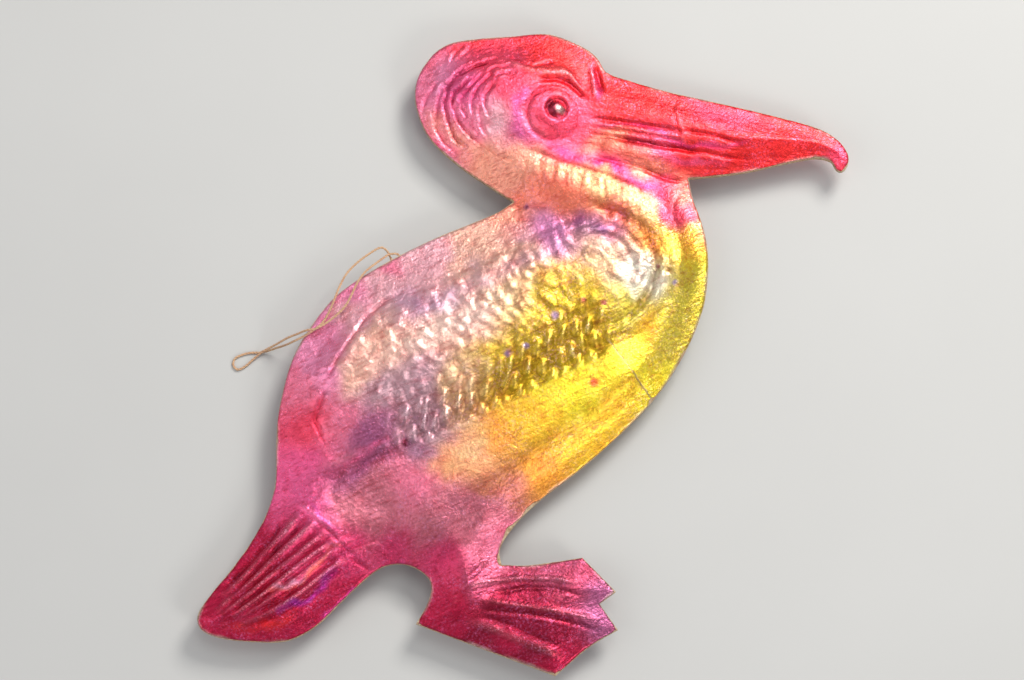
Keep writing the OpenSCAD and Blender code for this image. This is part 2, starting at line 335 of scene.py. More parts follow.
# Long soft ridges: half width, height, points
RIDGES = [
    (4.4, 0.75, [(-15, 22.6), (-6, 23.6), (2, 24.2), (8, 22.8), (12, 19)]),
    (3.4, 0.4, [(12, 19), (13.4, 13), (12.6, 6), (10, 0)]),
    (6, 0.8, [(9, 4), (3, -7), (-5, -18)]),
    (2.2, 0.2, [(-11, 28), (-6.5, 26.9), (1, 27.2), (6, 27), (9.5, 24.5)]),
    (3.4, 0.4, [(-3, 35.6), (9, 36.8), (20, 38), (24.5, 38)]),
    (1.9, 0.25, [(0, 29.9), (9, 31.3), (16, 34.2)]),
    (7, 0.5, [(-17.5, -25), (-20, -32), (-23, -37.5)]),
    (3.5, 0.4, [(2, -17), (1, -29)]),
]
WING_LINE = [(4, 14.5), (-6, 4), (-16.5, -7)]
WING_W, WING_H = 8, 0.7

# Pressed lines that the lacquer and its painted highlights follow too
BROW_FOLD = [(-5.9, 38.4), (-5, 36.8), (-4.2, 35.1)]
BEAK_RIDGE = [(-3.4, 31.7), (1.6, 32.8), (6.7, 33.6), (10.6, 34.3), (13.8, 35)]
TAIL_ROOT = [(-19.8, -22.9), (-17.8, -23.6), (-15.4, -24.3)]

# Pressed lines of the face: half width, height (below zero for a groove), points
LINES = [
    # brow, with the hollow under it, and the folds where the beak begins
    (0.9, 0.2, [(-15.2, 35.4), (-12.3, 35.5), (-10.4, 35.9), (-9, 36.4), (-7.7, 36.4)]),
    (0.35, -0.22, [(-15.3, 36), (-13.5, 35.7), (-12.2, 35.8), (-11.1, 36.7), (-10.2, 37.3)]),
    (0.5, -0.36, [(-10.9, 34.5), (-9.2, 35.3), (-7.8, 35.4), (-6.5, 35), (-5.1, 34.4)]),
    (0.4, 0.14, [(-9.2, 36.8), (-7.7, 36.4), (-6.2, 35.2), (-5.1, 34.5)]),
    (0.5, 0.18, BROW_FOLD),
    (0.42, -0.3, [(-5.3, 38.5), (-4.4, 37.2), (-3.6, 36)]),
    # beak
    (0.34, -0.26, [(-3.6, 32.3), (-0.1, 33.1), (2.9, 33.7), (6.6, 34.4)]),
    (0.34, -0.26, [(7.4, 34.7), (10.3, 35.2), (13.9, 35.5)]),
    (0.24, 0.1, BEAK_RIDGE),
    (0.24, -0.1, [(-3, 31.3), (1.6, 32.3), (7, 33.2)]),
    (0.34, -0.2, [(-3, 30.5), (-0.8, 30.9), (2.2, 31.5), (5.2, 31.9), (7.5, 32.6), (9.7, 32.9),
                  (13.1, 33.4), (15.2, 34)]),
    (0.55, -0.3, [(0, 31), (2.2, 31.4), (5.2, 31.9), (7.5, 32.4), (9.7, 32.8)]),
    (0.3, -0.14, [(-1.8, 27.9), (2.2, 28.4), (4.7, 28.6)]),
    (0.45, -0.34, [(4.2, 28.6), (6.8, 28.5), (8.9, 28.8)]),
    (0.2, 0.08, [(5.9, 38.2), (5.5, 36.9), (6.2, 35.6), (7.1, 34.6), (7.7, 32.9)]),
    (0.3, -0.1, [(24.6, 38.6), (25.7, 38), (26.1, 37.2)]),
    # back of the head
    (0.3, -0.2, [(-22.5, 30.3), (-23.1, 27.8), (-23, 26), (-22.4, 25.1)]),
    (0.34, -0.28, [(-19.9, 33.3), (-21.1, 31), (-21.7, 28.7), (-21.3, 26.6), (-20.4, 24.7), (-19.3, 23.6),
                   (-17.4, 23)]),
    (0.4, -0.36, [(-16.9, 34.9), (-18.9, 33.5), (-20.3, 31.8), (-21, 29.9), (-20.8, 27.9), (-19.6, 26.1),
                  (-18.3, 24.5), (-16.5, 23.9)]),
    (0.34, -0.3, [(-18.4, 32.1), (-20.2, 29.6), (-19.9, 28.2), (-18.5, 26.5), (-16.9, 25.4),
                  (-15, 24.8)]),
    (0.3, -0.26, [(-17.6, 32.8), (-18.2, 31.5), (-19, 29.4), (-18.6, 28), (-17.2, 26.9)]),
    (0.3, -0.26, [(-16.4, 33.6), (-17.5, 31.5), (-17.9, 29.3), (-17.5, 28.2)]),
    (0.3, -0.2, [(-16, 31.9), (-16.4, 30.3), (-16.1, 28.8)]),
    (0.22, -0.12, [(-15.8, 24.9), (-12.9, 24.1), (-10.5, 24)]),
    # neck
    (0.5, -0.14, [(-9, 26), (-5, 25.9), (0, 26.2), (4.5, 26)]),
    (0.3, 0.1, [(9.2, 27.2), (9, 25.6), (9.7, 23.9), (10.8, 22.9)]),
    (1.1, -0.22, [(-0.5, 22.4), (1.8, 22.4), (4.4, 22.1), (6.9, 21.2), (8.1, 20.3), (8.9, 19.3)]),
    (0.3, -0.16, [(9.8, 17.8), (10.6, 17.6), (11.6, 17.9)]),
    # round the front of the wing
    (0.7, -0.28, [(8.9, 19.3), (9.8, 17.4), (9.9, 15), (9.3, 12.6), (8, 10.3)]),
    (0.35, 0.13, [(10.1, 18.6), (10.9, 16.5), (10.8, 14.2), (10.1, 12), (8.6, 9.7), (7, 8.2)]),
    (0.7, 0.14, [(-1.7, 17.5), (0.7, 19.4), (2.9, 20.1), (5.2, 19.7), (7.1, 18.5), (8.1, 16.5),
                 (8, 13.5)]),
    # back of the wing, its trailing streak and the nape
    (0.4, -0.24, [(-17.6, 4.6), (-19.1, 3.1), (-20.5, 0.5), (-21.2, -2.5), (-21.8, -5), (-22.2, -8)]),
    (0.5, -0.16, [(-22, -9), (-22, -13), (-19.5, -15.5)]),
    (1.3, -0.15, [(-19, -19.5), (-17, -18.2), (-14.7, -16), (-12.7, -14.2), (-9.5, -12.3)]),
    (0.6, 0.14, [(-18.6, -17.6), (-16.8, -16.1), (-14.4, -14), (-12.6, -12.6)]),
    (0.4, -0.2, [(-8.8, 18.8), (-7, 19.8), (-5, 20.4)]),
    (0.35, -0.14, [(-8.2, 17.6), (-6, 18.4)]),
    (0.4, 0.14, [(-7.9, 19.3), (-6.9, 19.7)]),
    # root of the tail
    (0.3, 0.12, TAIL_ROOT),
    (0.3, -0.08, [(-20.2, -23.6), (-17.6, -24.2), (-15.3, -24.9), (-13.3, -26), (-11.6, -26.5)]),
    (0.4, 0.14, [(-14.9, -25.9), (-13.6, -25.3), (-12.6, -24.7)]),
    (0.25, 0.12, [(-12.9, -26.6), (-11.4, -25.2), (-9.8, -24)]),
    (0.4, -0.12, [(-12.9, -26.8), (-11, -27), (-9.6, -27.4)]),
    # leg and toes
    (0.16, -0.08, [(3.4, -21), (1.8, -24.8), (0.9, -29.1)]),
    (0.16, -0.07, [(2.3, -22.1), (1.2, -24.5), (0.9, -25.6)]),
    (0.16, 0.06, [(3.4, -22.6), (1.9, -26), (0.4, -28.4)]),
    (0.16, -0.06, [(-2.7, -23.2), (-2.4, -24.8)]),
    (0.55, 0.2, [(1.3, -25.4), (3.9, -23.7), (7.1, -22.1), (10.6, -20.9), (13.4, -20.4)]),
    (0.4, -0.17, [(4.6, -25), (7.9, -23.1), (11, -22), (14.5, -21.6)]),
    (0.55, 0.22, [(4, -26), (7.3, -25.4), (10.5, -24.7), (13.9, -24.1), (17, -23.7)]),
    (0.4, -0.19, [(4, -27.2), (7.3, -26.3), (10.8, -25.5), (14.3, -25), (17.6, -24.8)]),
    (0.8, 0.22, [(3.3, -28.9), (7, -28.8), (10.8, -29), (14.5, -29.1)]),
    (0.4, -0.12, [(4, -27.8), (7.5, -27.6), (11, -27.9), (14.6, -28)]),
]
# Pleats of the tail, from its root to the tip: half width, height, points
PLEATS = [
    (0.55, -0.3, [(-21.2, -25.4), (-21.8, -28.1), (-22.6, -30), (-23.6, -32.4), (-24.7, -34.9)]),
    (0.6, 0.26, [(-19.8, -24.3), (-20.4, -26.3), (-21.5, -28.3), (-22.3, -30.1), (-23.3, -33.1),
                 (-24.6, -35.6)]),
    (0.5, -0.3, [(-18.8, -24.4), (-19.6, -26.4), (-20.8, -28.8), (-21.7, -31), (-22.6, -33), (-24, -36)]),
    (0.5, 0.28, [(-17.5, -24.2), (-18.6, -26.1), (-19.9, -28.6), (-21, -30.5), (-22, -32.7),
                 (-23.6, -35.4), (-24.6, -37.6)]),
    (0.4, -0.26, [(-16.8, -24.8), (-18, -26.8), (-19.2, -29), (-20.5, -31.2), (-22, -34.2),
                  (-24, -37.4)]),
    (0.45, 0.28, [(-16.1, -25.2), (-17.3, -27), (-18.3, -28.8), (-19.9, -31.2), (-21.4, -33.8),
                  (-24, -37.9)]),
    (0.4, -0.28, [(-15.5, -25.6), (-16.9, -27.5), (-18.1, -29.4), (-19.4, -31.6), (-20.8, -34.2),
                  (-23.2, -37.6)]),
    (0.45, 0.28, [(-15, -25.8), (-16.4, -27.7), (-17.6, -29.6), (-18.8, -31.6), (-20.2, -33.9),
                  (-22.6, -37.6)]),
    (0.3, -0.24, [(-14.6, -26.3), (-16.2, -28.5), (-17.6, -30.9), (-19, -33.2), (-21.6, -37)]),
    (0.3, 0.22, [(-14, -26.1), (-15.3, -27.8), (-16.8, -30.3), (-18.2, -32.4), (-19.5, -34.6),
                 (-21.8, -37.7)]),
    (0.6, -0.26, [(-13.6, -26.8), (-15, -29), (-16.5, -31.7), (-18.1, -34), (-20.6, -37.2)]),
    (0.5, 0.28, [(-12.7, -26.9), (-14.2, -28.9), (-15.6, -31.3), (-17.1, -33.6), (-18.8, -35.7),
                 (-21.4, -38.2)]),
    (0.5, -0.26, [(-12.6, -27.9), (-14.5, -30.9), (-16, -33.6), (-17.6, -35.6), (-19.6, -37.6)]),
]


def smooth(t):
    t = np.clip(t, 0, 1)
    return t * t * (3 - 2 * t)


def bump(t):
    return np.clip(1 - t * t, 0, 1) ** 2


def along(x, y, line):
    """Distance to a line, and the share of its length passed at the nearest point."""
    near, share = np.full(np.shape(x), 1e9), np.zeros(np.shape(x))
    spans = [math.dist(p, q) for p, q in zip(line, line[1:])]
    gone = 0
    for p, q, span in zip(line, line[1:], spans):
        ux, uy = (q[0] - p[0]) / span, (q[1] - p[1]) / span
        t = np.clip((x - p[0]) * ux + (y - p[1]) * uy, 0, span)
        away = np.hypot(x - p[0] - t * ux, y - p[1] - t * uy)
        closer = away < near
        near = np.where(closer, away, near)
        share = np.where(closer, (gone + t) / sum(spans), share)
        gone += span
    return near, share


def noise(x, y, cell, seed):
    """Smooth random field from 0 to 1 whose blobs are about a cell wide."""
    size = 256
    table = np.random.default_rng(seed).random((size, size))
    u, v = x / cell + size / 4, y / cell + size / 4
    i, j = np.floor(u).astype(int), np.floor(v).astype(int)
    fu, fv = smooth(u - i), smooth(v - j)
    near, far = ((table[i % size, (j + k) % size], table[(i + 1) % size, (j + k) % size]) for k in (0, 1))
    return (near[0] * (1 - fu) + near[1] * fu) * (1 - fv) + (far[0] * (1 - fu) + far[1] * fu) * fv


def creases(x, y, cell, seed):
    """Thin random folds, as in crumpled foil: 1 on a fold, 0 away from it."""
    shift = noise(x, y, cell * 1.7, seed + 50) * cell
    n = noise(x + shift, y - shift, cell, seed)
    return np.clip(1 - np.abs(2 * n - 1) * 3.2, 0, 1) ** 2


def dome(x, y, d):
    cx, cy, length, width, turn, height = d
    c, s = math.cos(math.radians(turn)), math.sin(math.radians(turn))
    u = ((x - cx) * c + (y - cy) * s) / length
    v = ((y - cy) * c - (x - cx) * s) / width
    return height * bump(np.hypot(u, v))


RIM_W = 0.35            # flat margin along the cut edge
PILLOW_W, PILLOW_H = 6, 1
CROWN_W = 3.4


def broad_relief(x, y, edge):
    """The large shapes, as the CAD frame has them."""
    inset = np.clip(edge - RIM_W, 0, None)
    rise = np.clip(inset / PILLOW_W, 0, 1)
    wing, _ = along(x, y, WING_LINE)
    shape = sum(dome(x, y, d) for d in DOMES) + WING_H * np.clip(1 - (wing / WING_W) ** 4, 0, 1)
    shape = shape + sum(h * bump(along(x, y, line)[0] / w) for w, h, line in RIDGES)
    return PILLOW_H * (0.55 * smooth(rise) + 0.45 * (1 - (1 - rise) ** 2)) + smooth(inset / CROWN_W) * shape


EYE, PUPIL = (-8.1, 31.1), (-7.9, 31.8)


def eye(x, y):
    """A shallow round groove round the eye, and a small bead set in a ring for the pupil."""
    far = np.hypot(x - EYE[0], y - EYE[1])
    near = np.hypot(x - PUPIL[0], y - PUPIL[1])
    groove = -0.16 * bump((far - 3.2) / 0.5) * (0.7 + 0.3 * np.clip((EYE[0] - x) / 2.5, -1, 1))
    return groove - 0.34 * bump((near - 1.1) / 0.45) + 0.22 * bump(near / 1.0) - 0.1 * bump(near / 0.4)


def head_feathers(x, y):
    """Fine curved lines between the long feathers at the back of the head."""
    wander = 0.7 * (noise(x, y, 2.4, 11) - 0.5) + 0.5 * (noise(x, y, 1.1, 12) - 0.5)
    far = np.hypot(x + 13.9, (y - 30) * 0.82) + wander
    lines = np.abs(np.sin(math.pi * far / 0.8)) ** 0.7
    spread = smooth((far - 1.6) / 1) * smooth((9.7 - far) / 0.9) * smooth((-14 - x) / 1.4)
    spread = spread * smooth((6.8 - np.abs(y - 29.8)) / 2.4)
    broken = smooth((noise(x, y, 1.3, 13) - 0.3) / 0.3)
    return 0.34 * spread * broken * (lines - 0.6)


def neck_streaks(x, y):
    """Short fine feather strokes across the neck, below the jaw."""
    near, _ = along(x, y, [(-9, 23.4), (-3, 24.2), (3.5, 24), (8, 22.4), (10.5, 20)])
    stroke = noise(x * 3.4 + 1.1 * y, y * 0.55 - 0.2 * x, 1, 15)
    return 0.12 * (stroke - 0.5) * smooth((2.4 - near) / 1.4)


# Lowest row of scales, from the front of the wing to the back
SCALE_ROWS = [(8.4, 11.6), (7.4, 9.2), (4.6, 3.9), (1.5, 0.2), (-2.1, -3.6), (-5.9, -7), (-9.7, -10.3),
              (-13.8, -13.3)]
SCALE_ALONG = (-0.68, -0.73)        # way the rows run
SCALE_TICK = (0.36, -0.93)          # way each scale points
SCALE_PITCH, SCALE_LENGTH, SCALE_BAND = 1.75, 2.3, 9


def scale_feathers(x, y):
    """Rows of small overlapping scales along the lower half of the wing, each a little out of line."""
    near, share = along(x, y, SCALE_ROWS)
    over, _ = along(x, y, WING_LINE)
    edge, _ = along(x, y, [(px + 2, py - 2) for px, py in SCALE_ROWS])
    up = np.where(edge > near, near, -near)
    wander = 0.9 * (noise(x, y, 4, 21) - 0.5)
    dx, dy = x - SCALE_ROWS[0][0] + wander, y - SCALE_ROWS[0][1] + wander
    det = SCALE_ALONG[0] * SCALE_TICK[1] - SCALE_ALONG[1] * SCALE_TICK[0]
    a = (dx * SCALE_TICK[1] - dy * SCALE_TICK[0]) / det / SCALE_PITCH
    b = (SCALE_ALONG[0] * dy - SCALE_ALONG[1] * dx) / det / SCALE_LENGTH
    draws = np.random.default_rng(22).random((64, 64, 4))
    ticks = np.zeros(np.shape(x))
    for row_step in (-1, 0, 1):
        row = np.floor(b) + row_step
        shifted = a + 0.5 * (row % 2)
        for step in (-1, 0, 1):
            column = np.floor(shifted) + step
            draw = draws[column.astype(int) % 64, row.astype(int) % 64]
            u = (shifted - column - 0.5 - 0.5 * (draw[..., 0] - 0.5)) * SCALE_PITCH
            v = (b - row - 0.5 - 0.45 * (draw[..., 1] - 0.5)) * SCALE_LENGTH
            u = u + 0.35 * (draw[..., 2] - 0.5) * v
            width = 0.6 + 0.16 * draw[..., 2]
            tip = 0.62 + 0.38 * np.clip(v / SCALE_LENGTH + 0.5, 0, 1)
            tick = bump(np.hypot(u / width, v / (0.54 * SCALE_LENGTH))) ** 0.6
            tick = tick * (0.85 - 0.15 * np.clip(u / width, -1, 1))
            ticks = np.maximum(ticks, tick * tip * (0.55 + 0.5 * draw[..., 3]))
    faint = 0.24 + 0.76 * smooth((6.6 - 1.6 * share - up) / 3.4)
    fade = smooth((up + 0.9) / 0.9) * faint * smooth((SCALE_BAND - up) / 3)
    fade = fade * smooth(share / 0.16) * smooth((1.01 - share) / 0.16) * smooth((8.6 - over) / 0.7)
    return fade * (0.8 * ticks - 0.24)


FLAKE_PITCH, FLAKE_W = 1.75, 0.55


def wing_flakes(x, y):
    """Scattered small oval flakes on the upper half of the wing."""
    draws = np.random.default_rng(31).random((96, 96, 4))
    out = np.zeros(np.shape(x))
    for i in (-1, 0, 1):
        for j in (-1, 0, 1):
            column = (np.floor(x / FLAKE_PITCH) + i).astype(int)
            row = (np.floor(y / FLAKE_PITCH) + j).astype(int)
            draw = draws[column % 96, row % 96]
            cx = (column + 0.2 + 0.6 * draw[..., 0]) * FLAKE_PITCH
            cy = (row + 0.2 + 0.6 * draw[..., 1]) * FLAKE_PITCH
            turn = 2.2 + 1.1 * draw[..., 2]
            u = (x - cx) * np.cos(turn) + (y - cy) * np.sin(turn)
            v = (y - cy) * np.cos(turn) - (x - cx) * np.sin(turn)
            out = np.maximum(out, bump(np.hypot(u, v / FLAKE_W)) ** 0.5 * (draw[..., 3] > 0.3))
    wing, _ = along(x, y, WING_LINE)
    near, _ = along(x, y, [(6, 18), (-8, 9.5), (-19, 2)])
    height = 0.05 + 0.1 * smooth((1 - x) / 7)
    return height * out * smooth((8.5 - near) / 3.5) * smooth((9 - wing) / 1.5)


def pressed_line(x, y, half_width, height, points):
    """One ridge or groove, a little uneven along its length."""
    near, share = along(x, y, points)
    uneven = 0.75 + 0.5 * noise(x, y, 1.3, 41)
    ends = smooth(share / 0.12) * smooth((1 - share) / 0.12)
    return height * uneven * (0.35 + 0.65 * ends) * bump(near / half_width)


def crumple(x, y, seed):
    """Dents, folds and grain of foil paper that has been pressed and handled, most of all on the wing."""
    wing, _ = along(x, y, WING_LINE)
    rump, _ = along(x, y, [(-24, -5), (-22, -20), (-12, -22)])
    lively = 0.35 + 0.85 * smooth((9.5 - wing) / 3) + 0.45 * smooth((5 - rump) / 4)
    scales, _ = along(x, y, SCALE_ROWS)
    lively = lively * (1 - 0.7 * smooth((6 - scales) / 2.5))
    dents = 0.1 * (noise(x, y, 5, seed) - 0.5) + 0.12 * (noise(x, y, 2.2, seed + 1) - 0.5)
    folds = 0.06 * creases(x, y, 4.2, seed + 2) + 0.07 * creases(x, y, 1.9, seed + 3)
    return lively * (dents + folds + 0.1 * (noise(x, y, 0.85, seed + 4) - 0.5))


def fine_relief(x, y):
    """Everything pressed into the large shapes."""
    lines = sum(pressed_line(x, y, w, h, points) for w, h, points in LINES + PLEATS)
    return (lines + eye(x, y) + head_feathers(x, y) + neck_streaks(x, y) + scale_feathers(x, y)
            + wing_flakes(x, y))


BURR_W, BURR_H = 0.3, 0.09          # the cut edge is rolled down a little


def foil_height(x, y, edge, seed):
    """Height of the foil paper's face above the rim, and the fine part of it."""
    fine = fine_relief(x, y)
    near_rim = smooth(edge / 1.1)
    height = broad_relief(x, y, edge) + fine * near_rim + crumple(x, y, seed) * smooth(edge / 1.6)
    height = height - BURR_H * np.clip(1 - edge / BURR_W, 0, 1) ** 2
    return np.clip(height, -BURR_H, RELIEF_TOP), fine * near_rim


# ---- Lacquer colours ----
def linear(red, green, blue):
    """An sRGB colour from 0 to 255 as linear values."""
    c = np.array([red, green, blue]) / 255
    return np.where(c <= 0.04045, c / 12.92, ((c + 0.055) / 1.055) ** 2.4)


LACQUER = {
    "scarlet": linear(244, 52, 50), "rose": linear(240, 72, 98), "hot pink": linear(242, 94, 146),
    "pink": linear(240, 122, 150), "shell": linear(240, 176, 184), "orchid": linear(214, 134, 178),
    "violet": linear(142, 82, 142), "coral": linear(246, 128, 100), "peach": linear(248, 172, 118),
    "amber": linear(238, 158, 52), "gold": linear(240, 188, 44), "lemon": linear(242, 220, 48),
    "olive": linear(196, 164, 30), "sage": linear(208, 190, 56), "silver": linear(236, 228, 206),
    "tan": linear(216, 176, 132), "mauve": linear(196, 108, 122), "dusk": linear(176, 126, 150),
    "orchid pink": linear(242, 84, 178), "bright violet": linear(176, 52, 176),
    "lilac": linear(186, 158, 204), "pearl": linear(244, 222, 210), "cream": linear(252, 214, 152),
    "brown": linear(150, 84, 34), "rosewood": linear(170, 66, 92), "salmon": linear(255, 168, 140),
    "plum": linear(164, 86, 124), "blush": linear(244, 188, 164), "raspberry": linear(236, 40, 104),
    "candy": linear(250, 148, 186), "clay": linear(190, 112, 78), "mist": linear(190, 150, 158),
    "magenta": linear(206, 54, 98), "crimson": linear(188, 30, 66), "wine": linear(150, 22, 50),
}
# Soft sprayed spots: lacquer, x, y, radius
SPRAY = [
    # crown, back of the head and cheek; the shell spot on the cheek is a painted highlight
    ("scarlet", -10, 39, 4), ("rose", -17, 36.5, 3.5), ("candy", -22, 31, 2.6),
    ("hot pink", -18.5, 30, 3), ("pink", -17, 26, 3), ("shell", -14, 27.3, 2.2), ("rose", -14.5, 33, 3),
    ("hot pink", -18, 24, 2.5), ("rose", -8.1, 31.1, 3.6), ("scarlet", -9, 36.3, 2.5),
    # beak
    ("scarlet", 0, 36, 4.5), ("scarlet", 9, 36, 5), ("scarlet", 19, 38, 6), ("rose", 8.5, 38.3, 1.8),
    ("rose", 5, 32.5, 2.5), ("scarlet", 13, 33.5, 3), ("coral", 5, 29.8, 1.6), ("coral", -1, 29.9, 1.6),
    ("rose", 25.8, 38, 1.5),
    # jaw and throat
    ("pink", -11, 28, 2), ("rose", -5.5, 28, 2), ("rose", 1, 28, 2.2), ("rose", 6.5, 27, 2),
    ("coral", 11, 27.3, 1.8), ("rose", 10, 24.5, 1.8),
    # neck
    ("salmon", -14, 22.8, 2.6), ("salmon", -9, 24, 2.4), ("coral", -4, 23, 2.6),
    ("peach", 0.5, 24.4, 2.2), ("peach", 5.5, 24, 2.2), ("coral", 3, 22.6, 1.6), ("amber", 8.5, 21.6, 2),
    ("coral", -3, 21, 2), ("amber", 12.5, 22, 1.6), ("peach", 13.5, 24, 1.2),
    # breast and belly
    ("sage", 14.5, 17, 3), ("sage", 15, 11, 3), ("lemon", 13, 5, 3.2), ("gold", 10.5, 0, 3),
    ("lemon", 6, 0, 3.4), ("gold", 11, 10, 2), ("gold", 8, -6, 2.6), ("gold", 2.5, -5, 3),
    ("amber", 5, -10, 2.4), ("amber", -1, -7.5, 2.2), ("peach", -2.6, -11, 2.4), ("peach", -6, -13, 2.4),
    ("clay", 2.4, -12.8, 2.2), ("clay", -0.6, -14.4, 1.6), ("mauve", -1, -17, 2.8),
    ("pink", -8, -16.5, 3), ("mauve", -6, -20, 3.4), ("pink", 2, -20, 2.6), ("mauve", -12, -20.5, 3.4),
    # front of the wing; the silver spots are foil under thin lacquer and a painted highlight
    ("tan", 4.5, 16, 2.4), ("silver", 8, 15.5, 2.2), ("sage", 8, 12, 2), ("silver", 8.3, 13.4, 1),
    ("olive", 2.6, 11.6, 2.4), ("olive", 4, 8.8, 2.4), ("olive", -1, 9.5, 2.6), ("olive", 0.5, 4, 3),
    ("olive", -3, 0, 2.8), ("orchid", -4, 17, 1.8),
    # middle and back of the wing
    ("blush", -7, 12.5, 2.6), ("tan", -5, 9, 2.6), ("blush", -8, 5, 2.4), ("blush", -11, 9, 2),
    ("blush", -12, 1.5, 2.8), ("shell", -16, 4.5, 2.6), ("blush", -17.5, -1, 3), ("tan", -7, -3.5, 2.6),
    ("mist", -11.5, -5.5, 2.8), ("mist", -10.5, -9.5, 2.4), ("mist", -16, -7, 3),
    ("plum", -15.5, -12.5, 2.4), ("blush", -19, -6, 2.2), ("pink", -19.5, -12, 2.4),
    ("dusk", -9.5, -12.6, 1.6),
    # back, from the nape to the rump
    ("coral", -8, 19, 1.4), ("blush", -12, 14, 2.4), ("salmon", -9.5, 17, 1.8), ("shell", -16.5, 10, 3),
    ("pink", -20, 7.3, 1.6), ("shell", -20.5, 4.5, 2.2), ("candy", -23.5, 2, 2), ("shell", -22.5, 0, 1.8),
    ("candy", -24.5, -3, 2.4), ("candy", -24, -8, 2.2), ("pink", -25.5, -11, 2),
    ("rose", -22.5, -14, 2.6), ("hot pink", -21, -18.5, 3), ("mauve", -16, -19, 3),
    # tail, leg and foot
    ("hot pink", -19.5, -22.6, 2.4), ("crimson", -22, -30, 3), ("magenta", -17.5, -28, 2.8),
    ("magenta", -13.5, -26.6, 2.4), ("crimson", -14.5, -33, 2.6), ("crimson", -20, -34, 3),
    ("crimson", -24, -37, 3), ("crimson", -14.8, -36.2, 2), ("crimson", -11, -30, 2.2),
    ("magenta", -8, -23.8, 2.6), ("magenta", -2.5, -23, 2.6), ("rosewood", 2.5, -23, 2.4),
    ("crimson", 0.5, -28, 3), ("wine", 7, -24, 2.6), ("rosewood", 13, -19.2, 1.8),
    ("rosewood", 10, -20.4, 1.7), ("wine", 10, -24, 2.2), ("wine", 12, -26.8, 2.4),
    ("crimson", 8.5, -28.6, 1.8), ("crimson", 14, -29.4, 1.6), ("wine", 6, -30.6, 2),
    ("wine", 11, -30.8, 1.6), ("plum", 18, -22.6, 1.6),
]
